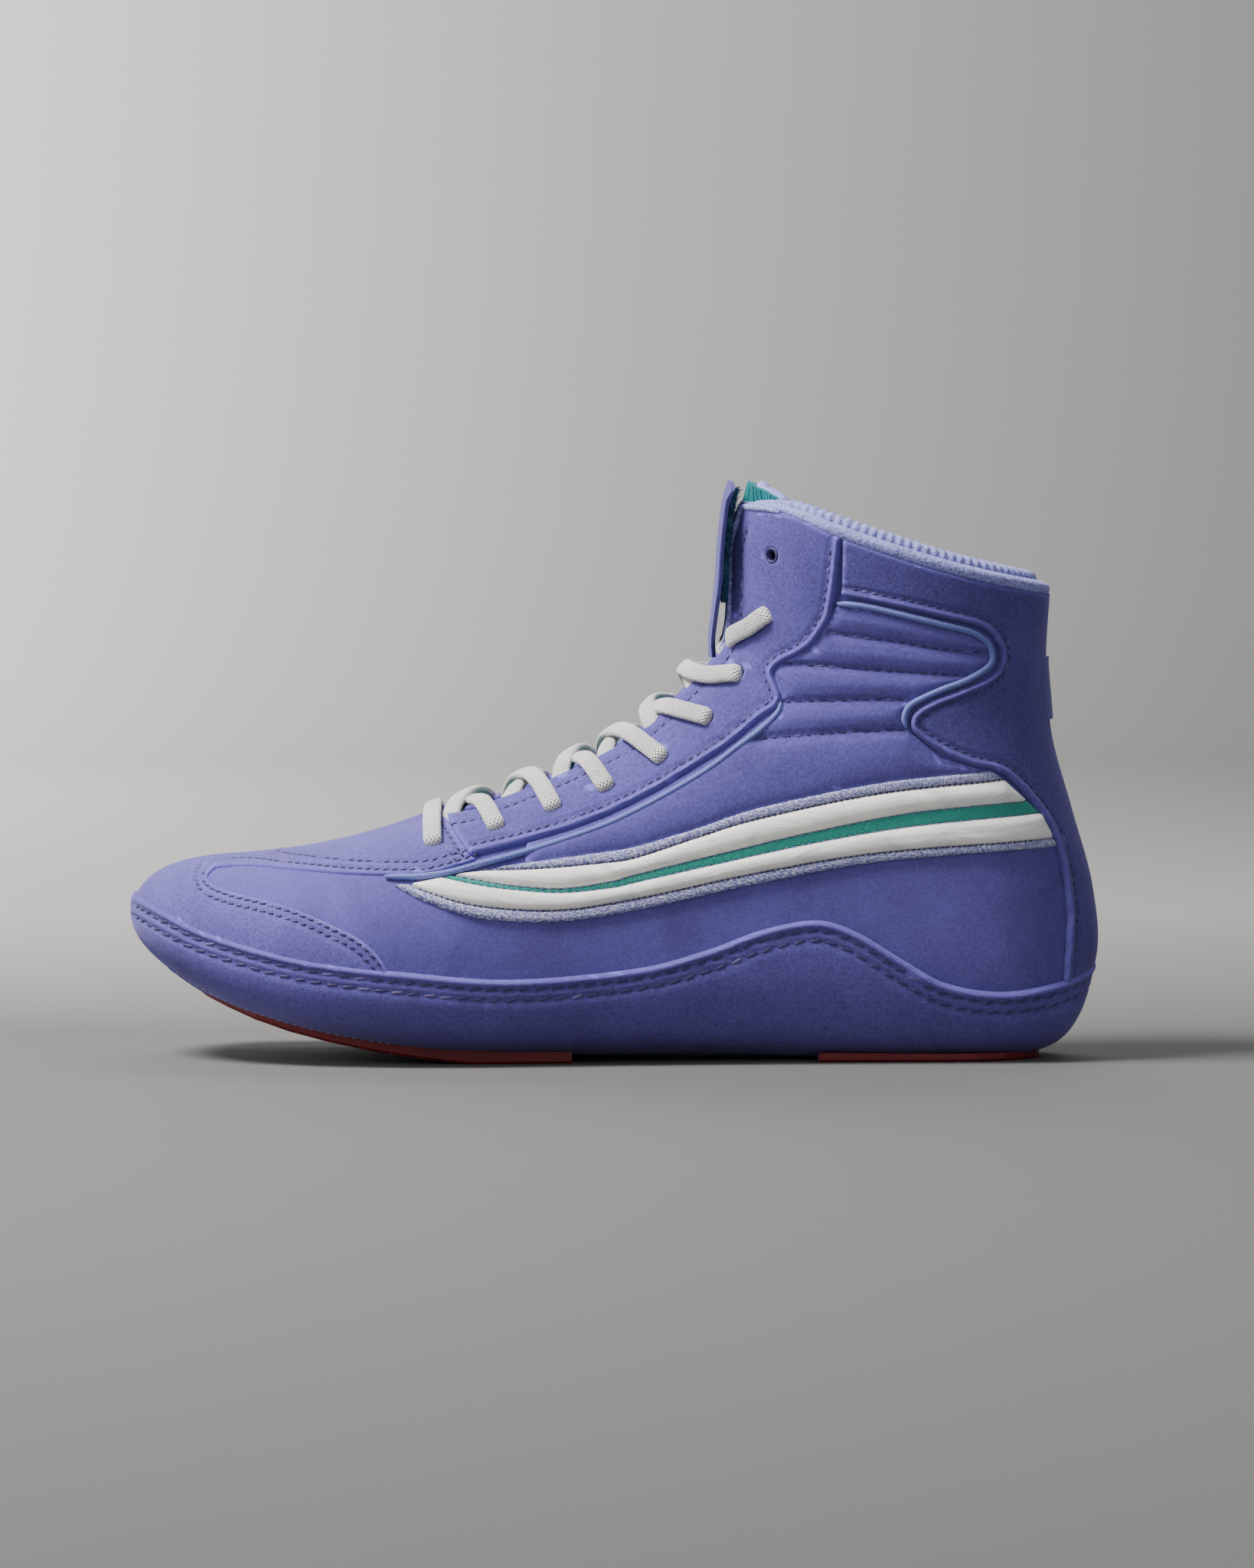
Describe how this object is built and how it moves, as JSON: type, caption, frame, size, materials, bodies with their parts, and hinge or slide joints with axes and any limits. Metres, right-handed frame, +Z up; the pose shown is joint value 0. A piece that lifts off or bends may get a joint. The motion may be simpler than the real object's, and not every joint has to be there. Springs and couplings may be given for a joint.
{
  "type": "boxing boot",
  "caption": "High laced boxing boot for the left foot with suede panels, quilted ankle, padded collar, knit tongue, hook-and-loop lace flap and thin rubber sole.",
  "frame": {"origin": "on the floor, below the centre of the boot's bounding box", "axes": "-X is the toe and +X the heel, -Y the outer side and +Y the inner side of the left foot, +Z up"},
  "size_m": [0.29, 0.0998, 0.1744],
  "materials": {
    "rubber": "moulded, satin",
    "midsole": "matt black foam rubber",
    "board": "pressed fibre board",
    "footbed": "brushed cloth",
    "suede": "short napped suede",
    "cloth": "napped microfibre",
    "quilt": "quilted suede over foam",
    "lining": "ribbed knit",
    "collar_knit": "melange knit",
    "tongue_knit": "rib knit over foam",
    "hook_and_loop": "fuzzy hook and loop tape",
    "lace": "flat braided lace",
    "piping": "satin corded edge",
    "stripe_leather": "soft synthetic leather",
    "inlay": "ribbed satin",
    "satin": "satin ribbon with light thread",
    "badge": "plain moulded patch"
  },
  "bodies": {
    "boot": {"outsole_forefoot": "rubber", "outsole_heel": "rubber", "midsole": "midsole", "insole_board": "board", "footbed": "footbed", "rand": "suede", "toe_vamp": "suede", "toe_puff": "board", "heel_counter": "board", "vamp_lining": "lining", "heel_panel": "suede", "heel_badge": "badge", "collar": "collar_knit", "tongue": "tongue_knit", "flap_root": "suede", "lace": "lace", "quarter_lateral": "cloth", "lining_lateral": "lining", "eyestay_lateral": "suede", "eyestay_piping_lateral": "piping", "ankle_panel_lateral": "quilt", "ankle_piping_lateral": "piping", "stripe_border_lower_lateral": "satin", "stripe_border_upper_lateral": "satin", "stripe_pad_lower_lateral": "stripe_leather", "stripe_pad_upper_lateral": "stripe_leather", "stripe_inlay_lateral": "inlay", "quarter_medial": "cloth", "lining_medial": "lining", "eyestay_medial": "suede", "eyestay_piping_medial": "piping", "ankle_panel_medial": "quilt", "ankle_piping_medial": "piping", "stripe_border_lower_medial": "satin", "stripe_border_upper_medial": "satin", "stripe_pad_lower_medial": "stripe_leather", "stripe_pad_upper_medial": "stripe_leather", "stripe_inlay_medial": "inlay"},
    "tongue_tip": {"tongue_top": "tongue_knit", "tongue_roll": "collar_knit", "tongue_loop_patch": "hook_and_loop"},
    "flap": {"lace_flap": "suede", "flap_hook_patch": "hook_and_loop"}
  },
  "joints": [
    {"name": "flap_hinge", "type": "hinge", "parent": "boot", "child": "flap", "pos_m": [0.0289, 0, 0.1278], "axis": [0, -1, 0], "range_deg": [0, 95], "stiffness_Nm_per_rad": 0.01},
    {"name": "tongue_hinge", "type": "hinge", "parent": "boot", "child": "tongue_tip", "pos_m": [0.039, 0, 0.137], "axis": [0, 1, 0], "range_deg": [0, 18], "stiffness_Nm_per_rad": 0.05}
  ]
}
